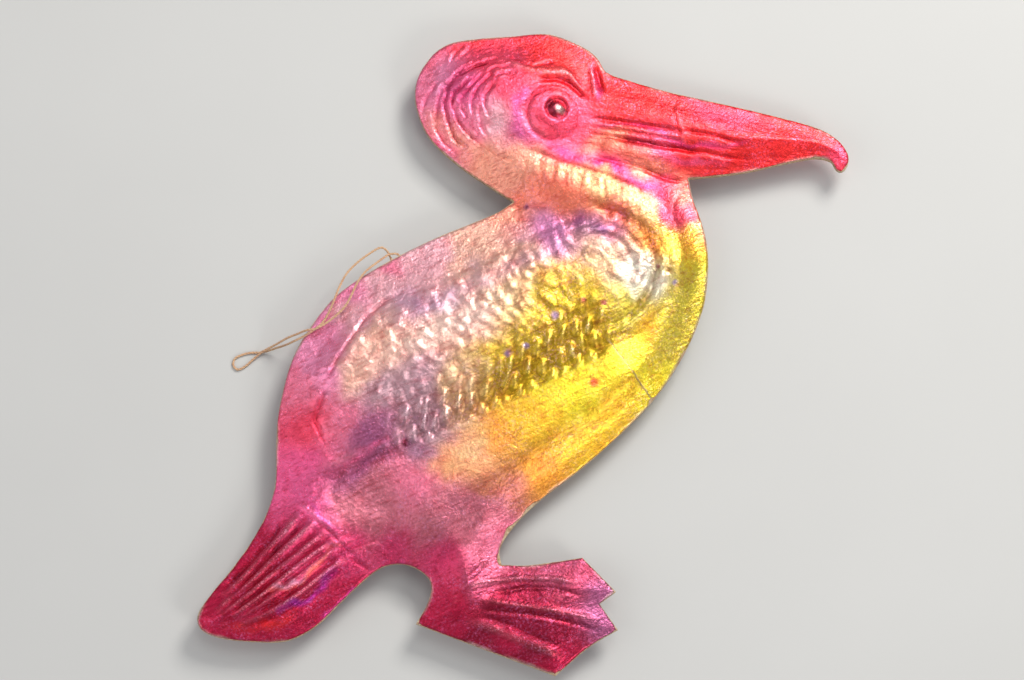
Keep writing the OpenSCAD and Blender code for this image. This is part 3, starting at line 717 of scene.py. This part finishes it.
# Sprayed and rubbed bands, and painted highlights and painted shade along the relief, that lie over the
# spots: lacquer, half width, cover, points
BANDS_AND_PAINTED_LIGHT = [
    # edge of the wing and the bands along it
    ("violet", 1.5, 0.9, [(-2.2, 17.8), (1.3, 19.9), (4.2, 20.1), (6.2, 19.2)]),
    ("dusk", 1.5, 0.6, [(-10, 9.6), (-7, 12), (-4.5, 13.6), (-1.3, 16), (1.2, 17.9), (4.1, 18.2),
                        (6.4, 17.4)]),
    ("orchid", 1.2, 0.55, [(-9, 15.2), (-5.5, 16.6), (-2, 17.8)]),
    ("lilac", 1.5, 0.55, [(-18.6, 1.8), (-16.8, 3.8), (-14.2, 3.4), (-12.3, 4.8), (-10.2, 8.3),
                          (-8.4, 9.8)]),
    # pearl band: a painted highlight along the middle of the wing
    ("pearl", 1.6, 0.5, [(-16.7, -2.3), (-12.7, 1), (-8.9, 5), (-6.8, 7.8)]),
    ("mist", 2.4, 0.4, [(-16, -6.5), (-14.8, -4.4), (-12.4, -2.5), (-10.1, -0.2)]),
    ("amber", 1.6, 0.35, [(-3.9, 11.2), (-0.6, 13.5), (2, 15)]),
    ("olive", 2.2, 0.5, [(-4.8, 5.2), (-2.5, 7.7), (0.5, 10.9), (3.9, 12.6)]),
    ("plum", 1.2, 0.8, [(-19.5, -19.5), (-17, -18.2), (-14.7, -16), (-12.7, -14.2)]),
    ("hot pink", 0.5, 0.6, [(-18.2, -17.6), (-16.8, -16.1), (-14.4, -14), (-13.2, -12.7)]),
    # rim of the head
    ("scarlet", 1.5, 0.75, [(-24, 28.5), (-23.8, 32), (-22.4, 34.4), (-19.5, 36.5), (-15.5, 38.3),
                            (-11, 39.8), (-7, 39.6), (-4.6, 38.2)]),
    ("salmon", 1.6, 0.8, [(-22.4, 26.6), (-20, 24.4), (-16.5, 22.8), (-13, 21.8), (-10, 21.2)]),
    # round the eye, along the jaw and down to the throat
    ("orchid pink", 0.8, 0.5, [(-11.9, 32.3), (-12.1, 30.2), (-10.9, 27.6), (-8.5, 26.8)]),
    ("raspberry", 0.9, 0.9, [(-9, 26.9), (-4.8, 26.7), (-1.3, 27), (2.2, 27.4), (4.7, 27.2), (6.3, 26.5),
                             (7.5, 25.5), (10, 23.2)]),
    # painted highlight along the fold at the base of the beak
    ("orchid pink", 0.4, 0.45, BROW_FOLD),
    # beak: the orchid pink and hot pink bands are painted highlights along its ridge, top and lip
    ("orchid pink", 0.3, 0.4, BEAK_RIDGE),
    ("hot pink", 1, 0.3, [(7.4, 37), (10, 37.4), (13.6, 37.8), (16.4, 37.8)]),
    ("hot pink", 0.5, 0.5, [(1, 30.6), (5, 31.1), (9, 32), (13.3, 32.8)]),
    ("coral", 1, 0.8, [(-2.5, 29), (2, 29.3), (6, 29.5), (9, 29.6)]),
    # neck: the cream band is a painted highlight along the crest, the brown band painted shade in the groove
    ("cream", 1, 0.45, [(-7.4, 24.4), (-3, 24.6), (2.2, 24.4), (4.4, 23.9), (7.1, 23), (8.6, 22)]),
    ("brown", 0.9, 0.75, [(3.5, 22.3), (6.9, 21.2), (8.1, 20.3), (8.9, 19.3)]),
    ("lemon", 1.3, 0.6, [(10, 21), (12.6, 20.3), (13.6, 18)]),
    ("hot pink", 0.8, 0.5, [(11, 27), (11.8, 25.3), (12.3, 23.8)]),
    # belly: the brown band is painted shade, the cream band a painted highlight
    ("brown", 1.1, 0.3, [(2, -10.5), (6.2, -4.8), (9.4, -0.6)]),
    ("mauve", 1.6, 0.6, [(-2, -18.5), (-0.8, -17.8), (1, -15.9), (2.7, -13)]),
    ("cream", 1.4, 0.7, [(-5, -12.5), (-3.8, -9.9), (-3, -7.4)]),
    # tail: the scarlet band along the lower margin and the bright violet band on the right pleats are
    # painted highlights
    ("scarlet", 0.7, 0.8, [(-22.5, -39.2), (-20.3, -38.7), (-18.7, -38), (-17.2, -37), (-15.9, -34.8)]),
    ("bright violet", 0.45, 0.8, [(-13.3, -27.9), (-15, -31.3), (-16.6, -33.8), (-18.1, -35.6)]),
    ("coral", 0.3, 0.7, [(-14.5, -26), (-15.5, -27.6), (-16.9, -30.3), (-18.3, -32.4), (-19.4, -34.5)]),
    ("lilac", 0.25, 0.5, [(-16.6, -29.6), (-17.8, -31.4), (-19.2, -33.8)]),
    ("orchid pink", 0.3, 0.55, TAIL_ROOT),
    ("bright violet", 0.35, 0.5, [(-6.5, -25.5), (-8.8, -27), (-10.6, -29.6), (-12, -32.3),
                                  (-13.7, -35.5)]),
]
# Small marks that lie over the spray: colour, x, y, radius
MARKS = [
    # the pearl mark on the pupil is a painted glint
    ("wine", -8.1, 31.75, 1.35), ("pearl", -7.5, 31.75, 0.6), ("scarlet", 7.4, 2.2, 0.75),
    ("wine", -11, -12, 0.65), ("wine", 3, 11, 0.5), ("plum", -7.3, 19.6, 0.6), ("wine", 9.9, 17.9, 0.3),
    ("wine", 5.3, 11.6, 0.5), ("lilac", -1.5, 3.6, 0.5), ("lilac", -3.3, 1.9, 0.55),
    ("lilac", 0.5, 8.1, 0.6), ("lilac", 12.3, 16.8, 0.5),
]


def lacquer_colours(x, y, edge, fine, seed):
    """Linear colour of the sprayed lacquer at each point, with painted shade in the pressed grooves, a
    painted highlight on the pressed ridges, and wear along the edge.
    """
    wander = 2.2
    px = x + wander * (noise(x, y, 4, seed + 60) - 0.5) + 0.8 * (noise(x, y, 1.2, seed + 62) - 0.5)
    py = y + wander * (noise(x, y, 4, seed + 61) - 0.5) + 0.8 * (noise(x, y, 1.2, seed + 63) - 0.5)
    total, colour = np.full(np.shape(x), 1e-9), np.zeros(np.shape(x) + (3,))
    for name, cx, cy, radius in SPRAY:
        away = ((px - cx) ** 2 + (py - cy) ** 2) / radius**2
        weight = 1 / (0.7 + away) ** 2.8
        total = total + weight
        colour = colour + weight[:, None] * LACQUER[name]
    colour = colour / total[:, None]
    patchy = 0.55 + 0.6 * noise(x, y, 1.1, seed + 64)
    for name, half_width, cover, points in BANDS_AND_PAINTED_LIGHT:
        near, share = along(px, py, points)
        middle = 0.4 + 0.6 * smooth(4 * share * (1 - share))
        lies = cover * patchy * bump(near / (1.5 * half_width)) * middle
        colour = colour + np.clip(lies, 0, 1)[:, None] * (LACQUER[name] - colour)
    for name, cx, cy, radius in MARKS:
        cover = smooth(1.6 * (1 - np.hypot(x - cx, y - cy) / radius * (0.7 + 0.6 * noise(x, y, 0.5, 70))))
        colour = colour + (cover * 0.85)[:, None] * (LACQUER[name] * 0.7 - colour)
    # painted shade: darker in the pressed grooves, darker still in the deepest; painted highlight: paler on
    # the pressed ridges
    groove_shade = np.clip(-fine / 0.3, 0, 1)[:, None]
    high = np.clip(fine / 0.35, 0, 1)[:, None]
    deep_groove_shade = smooth((-fine - 0.19) / 0.18)[:, None]
    colour = colour ** (1 + 0.4 * groove_shade) * (1 - 0.15 * groove_shade) * (1 - 0.45 * deep_groove_shade)
    pale = 0.7 * colour + 0.3 * colour.max(1, keepdims=True)
    colour = colour + 0.42 * high * (pale - colour)
    worn = smooth((0.3 - edge) / 0.2) * smooth((noise(x, y, 2.6, seed + 65) - 0.45) / 0.3)
    return colour + (0.5 * worn)[:, None] * (LACQUER["pearl"] - colour)


# ---- Sheets ----
WAY_SMOOTHING = 10      # rounds, so that neighbouring points of a worn edge don't cross at a corner
# Places where the foil paper is torn back from the edge: x, y, reach, depth
TEARS = [
    (5.4, -14.2, 1.6, 0.35), (4.4, -17.4, 1.9, 0.45), (4.2, -21, 1, 0.6), (19.6, -23.9, 0.6, 0.3),
    (14.6, -31.2, 0.8, 0.35), (-2.4, -31.2, 0.7, 0.3), (26.8, 37.2, 0.8, 0.25), (18, -19.8, 0.6, 0.3),
    (16.4, 9, 1.5, 0.16), (14.4, 2.8, 0.8, 0.3), (-26.4, -38.8, 1, 0.2), (9.7, 29.6, 0.7, 0.2),
    (-9.2, 19.8, 0.8, 0.25), (-25.2, -16.8, 1.2, 0.14), (23, 37, 1, 0.15),
]


def foil_outline(outline, seed):
    """The blank's outline, with the foil paper worn and torn back a little."""
    x, y = outline.T
    back = 0.03 + 0.07 * noise(x, y, 1.3, seed) ** 2 + 0.03 * noise(x, y, 0.4, seed + 1)
    for cx, cy, reach, depth in TEARS:
        ragged = 0.6 + 0.6 * noise(x, y, 0.45, seed + 2)
        back = back + depth * ragged * bump(np.hypot(x - cx, y - cy) / reach)
    way = inward(outline)
    for _ in range(WAY_SMOOTHING):
        way = (np.roll(way, 1, 0) + 2 * way + np.roll(way, -1, 0)) / 4
    return outline + back[:, None] * way


def join_sheet(name, upper, lower, border, up):
    """A closed sheet from two filled grids, each points and triangles, with the same border."""
    top, bottom = upper[0], lower[0]
    points = np.concatenate([top, bottom])
    first = len(top)
    faces = list(upper[1]) + [tuple(first + v for v in reversed(f)) for f in lower[1]]
    flat_from = len(faces)
    for k in range(border):
        n = (k + 1) % border
        faces.append((n, k, first + k, first + n))
    if not up:
        faces = [tuple(reversed(f)) for f in faces]
    made = mesh_object(name, points, faces)
    flags = np.ones(len(made.data.polygons), bool)
    flags[flat_from:] = False
    made.data.polygons.foreach_set("use_smooth", flags)
    return made


def add_attribute(piece, name, kind, values):
    layer = piece.data.attributes.new(name, kind, "POINT")
    key = "color" if kind == "FLOAT_COLOR" else "value"
    layer.data.foreach_set(key, np.asarray(values, np.float32).ravel())


FOIL_GAP, CARD_GAP = 0.26, 0.55     # spacing of the grids


def card_height(points, edge, seed):
    """Height of the card under the foil paper: the lowest foil nearby, less a hair."""
    x, y = points.T
    low = np.full(len(x), 1e9)
    for k in range(9):
        r = 0 if k == 0 else 0.34
        a = math.pi * k / 4
        dx, dy = r * math.cos(a), r * math.sin(a)
        low = np.minimum(low, foil_height(x + dx, y + dy, edge, seed)[0])
    exact = foil_height(x, y, edge, seed)[0]
    hidden = smooth((edge - 0.25) / 0.5)
    return exact * (1 - hidden) + (low - 0.05) * hidden


def half_shell(side, outline, seed):
    """Foil paper and card of one half. side is 1 for the front and -1 for the back."""
    half = "front" if side > 0 else "back"
    trimmed = foil_outline(outline, seed + 5)
    count = len(outline)

    face, face_tris = filled(trimmed, FOIL_GAP)
    face_edge = edge_distance(face, outline)
    height, fine = foil_height(*face.T, face_edge, seed)
    under, under_tris = filled(trimmed, CARD_GAP)
    under_edge = edge_distance(under, outline)
    under_height = card_height(under, under_edge, seed) - FOIL_T
    top = np.c_[face, SEAM + side * (RIM_LIFT + height)]
    bottom = np.c_[under, SEAM + side * (RIM_LIFT + under_height)]
    foil = join_sheet(half + "_foil_paper", (top, face_tris), (bottom, under_tris), count, side > 0)
    colours = np.ones((len(top) + len(bottom), 4))
    colours[: len(top), :3] = lacquer_colours(*face.T, face_edge, fine, seed)
    colours[len(top):, :3] = LACQUER["silver"]
    add_attribute(foil, "lacquer", "FLOAT_COLOR", colours)
    add_attribute(foil, "pressed", "FLOAT", np.r_[fine, np.zeros(len(bottom))])
    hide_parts(half + "_foil")
    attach(foil, "ornament")

    flat, flat_tris = filled(outline, CARD_GAP)
    edge = edge_distance(flat, outline)
    body = card_height(flat, edge, seed)
    body_top = RIM_LIFT - FOIL_T - 0.01 + body
    inner = np.minimum(broad_relief(*flat.T, edge), body) + CARD_LIFT
    inner = np.maximum(np.minimum(inner, body_top - 0.25), CARD_LIFT)
    card = join_sheet(half + "_pasteboard", (np.c_[flat, SEAM + side * body_top], flat_tris),
                      (np.c_[flat, SEAM + side * inner], flat_tris), count, side > 0)
    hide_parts(half + "_card")
    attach(card, "ornament")
    return foil, card


GLUE_IN, GLUE_LIP, GLUE_T = 1.1, 0.04, 0.03     # reach inward, edge of the bead, half thickness


def glue_bead(outline):
    """Band of dried glue between the rims, with an uneven bead along the seam."""
    x, y = outline.T
    way = inward(outline)
    squeeze = noise(x, y, 1.8, 81) ** 3
    out = -0.02 + 0.07 * squeeze
    thick = 0.03 + 0.12 * squeeze
    low, high = outline.min(0), outline.max(0)
    rings = []
    for inset, lift in ((GLUE_IN, -GLUE_T), (GLUE_LIP, -GLUE_T), (0, -thick), (-out, 0), (0, thick),
                        (GLUE_LIP, GLUE_T), (GLUE_IN, GLUE_T)):
        ring = np.clip(outline + np.broadcast_to(inset, len(x))[:, None] * way, low, high)
        rings.append(np.c_[ring, np.broadcast_to(SEAM + lift, len(x))])
    count, points, faces = len(outline), np.concatenate(rings), []
    for r in range(len(rings)):
        s = (r + 1) % len(rings)
        for k in range(count):
            n = (k + 1) % count
            faces.append((r * count + k, s * count + k, s * count + n, r * count + n))
    bead = mesh_object("glue_bead", points, [tuple(reversed(f)) for f in faces])
    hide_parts("rim_glue")
    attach(bead, "ornament")
    return bead


# ---- Materials ----
class Nodes:
    """A short way to write a node material."""

    def __init__(self, name):
        self.material = bpy.data.materials.new(name)
        self.material.use_nodes = True
        self.tree = self.material.node_tree
        self.shader = self.tree.nodes["Principled BSDF"]

    def add(self, kind, inputs=(), **settings):
        node = self.tree.nodes.new("ShaderNode" + kind)
        for key, value in settings.items():
            setattr(node, key, value)
        for key, value in dict(inputs).items():
            self.feed(node.inputs[key], value)
        return node

    def feed(self, socket, value):
        if isinstance(value, bpy.types.NodeSocket):
            self.tree.links.new(value, socket)
        else:
            socket.default_value = value

    def math(self, how, a, b=0.0, c=0.0, clamp=False):
        node = self.add("Math", operation=how, use_clamp=clamp)
        for socket, value in zip(node.inputs, (a, b, c)):
            self.feed(socket, value)
        return node.outputs[0]

    def mix(self, share, a, b, blend="MIX"):
        node = self.add("Mix", data_type="RGBA", blend_type=blend)
        for key, value in (("Factor", share), ("A", a), ("B", b)):
            socket = next(s for s in node.inputs if s.name == key and s.enabled)
            self.feed(socket, value)
        return next(s for s in node.outputs if s.enabled)

    def tint(self, colour, share, most, tone, blend="MULTIPLY"):
        """The colour with an sRGB tone blended over it by a share of 0 to 1, at most so much."""
        other = rgba(linear(*tone))
        if blend != "MIX":
            other = self.mix(1.0, colour, other, blend)
        return self.mix(self.math("MULTIPLY", share, most), colour, other)

    def place(self):
        return self.add("TexCoord").outputs["Object"]

    def noise(self, scale, detail=3.0, rough=0.5, place=None, warp=0.0):
        node = self.add("TexNoise", {"Vector": place or self.place(), "Scale": scale, "Detail": detail,
                                     "Roughness": rough, "Distortion": warp})
        return node.outputs["Fac"]

    def band(self, value, low, high):
        """0 below low, 1 above high."""
        node = self.add("MapRange", {"Value": value, "From Min": low, "From Max": high}, clamp=True)
        return node.outputs["Result"]

    def bump(self, height, distance, strength=1.0, under=None):
        node = self.add("Bump", {"Height": height, "Distance": distance, "Strength": strength})
        if under is not None:
            self.feed(node.inputs["Normal"], under)
        return node.outputs["Normal"]

    def finish(self, **sockets):
        for key, value in sockets.items():
            self.feed(self.shader.inputs[key.replace("_", " ")], value)
        return self.material


def rgba(colour):
    return (*[float(c) for c in colour], 1.0)


SPLIT_FROM, SPLIT_TO = (6.8, 7.9), (14.6, 2.9)      # hairline split in the foil paper of the breast


def hairline(m, place, start, end, half_width, wobble):
    """1 on a thin wandering line between two points of the face, 0 away from it."""
    turn = math.atan2(end[1] - start[1], end[0] - start[0])
    local = m.add("Mapping", {"Vector": place, "Location": (-start[0] * MM, -start[1] * MM, 0)}).outputs[0]
    local = m.add("Mapping", {"Vector": local, "Rotation": (0, 0, -turn)}).outputs[0]
    parts = m.add("SeparateXYZ", {0: local})
    wander = m.math("MULTIPLY", m.math("SUBTRACT", m.noise(700, 2, 0.5, place), 0.5), wobble * MM)
    off = m.math("ABSOLUTE", m.math("ADD", parts.outputs["Y"], wander))
    across = m.math("SUBTRACT", 1.0, m.band(off, 0.4 * half_width * MM, half_width * MM))
    reach = math.dist(start, end) * MM
    along_line = m.math("MULTIPLY", m.band(parts.outputs["X"], 0.0, 0.1 * reach),
                        m.math("SUBTRACT", 1.0, m.band(parts.outputs["X"], 0.98 * reach, reach)))
    return m.math("MULTIPLY", across, along_line)


def brushed(m, place, degrees, scale):
    """Noise drawn out into fine strokes along one direction of the face."""
    turned = m.add("Mapping", {"Vector": place, "Rotation": (0, 0, -math.radians(degrees))}).outputs[0]
    drawn = m.add("Mapping", {"Vector": turned, "Scale": (0.16, 1, 1)}).outputs[0]
    return m.noise(scale, 3, 0.6, drawn)


def foil_material(name, split):
    """Silver foil paper under thin transparent lacquer: grained, speckled, crazed and worn, with painted
    pink glints.
    """
    m = Nodes(name)
    place = m.place()
    lacquer = m.add("Attribute", attribute_name="lacquer").outputs["Color"]
    pressed = m.add("Attribute", attribute_name="pressed").outputs["Fac"]
    cloud = m.noise(260, 4, 0.6, place, 0.4)
    stain = m.noise(700, 5, 0.65, place)
    speck = m.noise(4200, 2, 0.5, place)
    grain = m.noise(2600, 3, 0.6, place)
    pits = m.noise(9000, 2, 0.5, place)

    parts = m.add("SeparateXYZ", {0: place})
    on_beak = m.math("MULTIPLY", m.band(parts.outputs["Y"], 27.5 * MM, 29 * MM),
                     m.band(parts.outputs["X"], -6 * MM, -3 * MM))
    strokes = m.mix(on_beak, brushed(m, place, 44, 3200), brushed(m, place, 11, 2600))

    # painted glints: pink screened over the lacquer where speckles meet the cloud
    glint = m.math("MULTIPLY", m.band(speck, 0.5, 0.68), m.band(cloud, 0.38, 0.62))
    colour = m.tint(lacquer, glint, 0.3, (236, 140, 205), "SCREEN")
    colour = m.tint(colour, m.band(stain, 0.5, 0.72), 0.5, (214, 130, 140))
    colour = m.tint(colour, m.band(strokes, 0.52, 0.66), 0.5, (190, 120, 120))
    colour = m.tint(colour, m.band(strokes, 0.42, 0.3), 0.2, (120, 90, 90), "SCREEN")
    wear = m.math("MULTIPLY", m.band(pressed, 0.14, 0.3), m.band(speck, 0.5, 0.62))
    colour = m.tint(colour, wear, 0.22, (246, 214, 220), "MIX")

    wobble = m.add("TexNoise", {"Vector": place, "Scale": 900.0}).outputs["Color"]
    bend = (0.6 * MM,) * 3
    craze_place = m.add("VectorMath", {0: wobble, 1: bend, 2: place}, operation="MULTIPLY_ADD")
    craze = m.add("TexVoronoi", {"Vector": craze_place.outputs[0], "Scale": 560.0},
                  feature="DISTANCE_TO_EDGE").outputs["Distance"]
    crack = m.math("SUBTRACT", 1.0, m.band(craze, 0.0, 0.035))
    crack = m.math("MULTIPLY", crack, m.band(cloud, 0.48, 0.62))
    colour = m.tint(colour, crack, 0.14, (150, 90, 110))
    if split:
        line = hairline(m, place, SPLIT_FROM, SPLIT_TO, 0.13, 0.5)
        crack = m.math("MAXIMUM", crack, line)
        colour = m.tint(colour, line, 0.8, (150, 128, 96), "MIX")

    rough = m.math("MULTIPLY_ADD", grain, 0.22, 0.14)
    rough = m.math("MULTIPLY_ADD", wear, 0.1, rough)
    crinkle = m.noise(1150, 5, 0.72, place, 0.6)
    normal = None
    for height, depth, strength in (
        (crinkle, 0.06, 1), (grain, 0.06, 1), (strokes, 0.05, 1), (pits, 0.02, 0.9),
        (m.math("SUBTRACT", 0.0, crack), 0.03, 0.5),
    ):
        normal = m.bump(height, depth * MM, strength, normal)
    return m.finish(Base_Color=colour, Roughness=rough, Normal=normal, Metallic=0.7,
                    Specular_Tint=rgba(linear(244, 190, 235)), Coat_Weight=0.06, Coat_Roughness=0.15)


def card_material():
    """Raw cut edge of layered pasteboard: fibrous, buff and brown."""
    m = Nodes("pasteboard_edge")
    place = m.place()
    depth = m.add("SeparateXYZ", {0: place}).outputs["Z"]
    layers = m.math("SINE", m.math("MULTIPLY_ADD", m.noise(900, 2, 0.5, place), 2.2,
                                   m.math("MULTIPLY", depth, 42000.0)))
    fibre = m.noise(3800, 5, 0.7, place, 0.6)
    colour = m.mix(m.band(fibre, 0.35, 0.68), rgba(linear(150, 112, 78)), rgba(linear(226, 206, 172)))
    colour = m.tint(colour, m.band(layers, 0, 1), 0.3, (120, 84, 58), "MIX")
    stain = m.noise(420, 3, 0.6, place)
    colour = m.tint(colour, m.band(stain, 0.5, 0.7), 0.45, (132, 84, 70), "MIX")
    normal = m.bump(fibre, 0.08 * MM)
    normal = m.bump(layers, 0.02 * MM, 0.7, normal)
    return m.finish(Base_Color=colour, Roughness=m.math("MULTIPLY_ADD", fibre, 0.2, 0.7), Normal=normal)


def glue_material():
    """Dried paper glue: amber, uneven and slightly shiny."""
    m = Nodes("dried_glue")
    place = m.place()
    cloud = m.noise(1500, 4, 0.6, place)
    colour = m.mix(cloud, rgba(linear(142, 98, 46)), rgba(linear(218, 184, 122)))
    normal = m.bump(m.noise(5000, 3, 0.5, place), 0.03 * MM, 0.7)
    return m.finish(Base_Color=colour, Roughness=m.math("MULTIPLY_ADD", cloud, 0.3, 0.25), Normal=normal,
                    Coat_Weight=0.3)


def thread_material():
    """Ecru cotton thread with fine fibres and soiled patches."""
    m = Nodes("cotton_thread")
    place = m.place()
    fibre = m.noise(14000, 3, 0.6, place, 0.5)
    dirt = m.noise(700, 3, 0.6, place)
    colour = m.mix(m.band(fibre, 0.3, 0.7), rgba(linear(176, 130, 96)), rgba(linear(226, 192, 152)))
    colour = m.tint(colour, m.band(dirt, 0.45, 0.7), 0.45, (168, 112, 84), "MIX")
    normal = m.bump(fibre, 0.03 * MM)
    return m.finish(Base_Color=colour, Roughness=m.math("MULTIPLY_ADD", fibre, 0.2, 0.68), Normal=normal,
                    Sheen_Weight=0.25)


def floor_material():
    """Plain pale studio floor."""
    m = Nodes("pale_floor")
    cloud = m.noise(30, 3, 0.5)
    colour = m.mix(cloud, (0.5, 0.5, 0.485, 1), (0.54, 0.54, 0.525, 1))
    return m.finish(Base_Color=colour, Roughness=m.math("MULTIPLY_ADD", cloud, 0.1, 0.75))


def paint(piece, material):
    piece.data.materials.clear()
    piece.data.materials.append(material)


# ---- Stage ----
def area_light(name, azimuth, elevation, away, size, power, colour=(1, 1, 1)):
    """A square soft light that faces the object; azimuth counts from +X towards +Y."""
    a, e = math.radians(azimuth), math.radians(elevation)
    back = Vector((math.cos(a) * math.cos(e), math.sin(a) * math.cos(e), math.sin(e)))
    light = bpy.data.objects.new(name, bpy.data.lights.new(name, "AREA"))
    bpy.context.scene.collection.objects.link(light)
    light.data.size = size
    light.data.energy = power
    light.data.color = colour
    light.location = back * away
    light.rotation_mode = "QUATERNION"
    light.rotation_quaternion = back.to_track_quat("Z", "Y")


FLOOR_R, FLOOR_GAP = 900, 0.02


def add_stage():
    """Floor, lights and the light of the room."""
    corners = [(FLOOR_R * x, FLOOR_R * y, -FLOOR_GAP) for x, y in ((-1, -1), (1, -1), (1, 1), (-1, 1))]
    floor = mesh_object("floor", corners, [(0, 1, 2, 3)])
    paint(floor, floor_material())
    area_light("key", 75, 45, 0.34, 0.12, 0.95, (1.0, 0.97, 0.93))
    area_light("overhead", 95, 72, 0.6, 0.25, 0.6)
    area_light("left_fill", 215, 38, 0.5, 0.4, 0.55, (1.0, 0.97, 0.95))
    area_light("right_fill", -25, 38, 0.45, 0.14, 0.5, (1.0, 0.98, 0.95))
    world = bpy.data.worlds.new("room")
    world.use_nodes = True
    room = world.node_tree.nodes["Background"].inputs
    room["Color"].default_value = (0.9, 0.93, 1.0, 1)
    room["Strength"].default_value = 0.37
    bpy.context.scene.world = world
    bpy.context.scene.view_settings.view_transform = "Standard"


# ---- Build ----
add_camera()
threads = add_threads()

blank = smooth_outline(rim_loop(), EDGE_STEP)
front_foil, front_card = half_shell(1, blank, SEED)
back_foil, back_card = half_shell(-1, blank, SEED + 100)
bead = glue_bead(blank)

for look, pieces in (
    (thread_material(), threads + [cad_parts["thread_knot"]]),
    (glue_material(), [bead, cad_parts["glue_dab"]]),
    (card_material(), [front_card, back_card]),
    (foil_material("front_lacquered_foil", split=True), [front_foil]),
    (foil_material("back_lacquered_foil", split=False), [back_foil]),
):
    for piece in pieces:
        paint(piece, look)
add_stage()
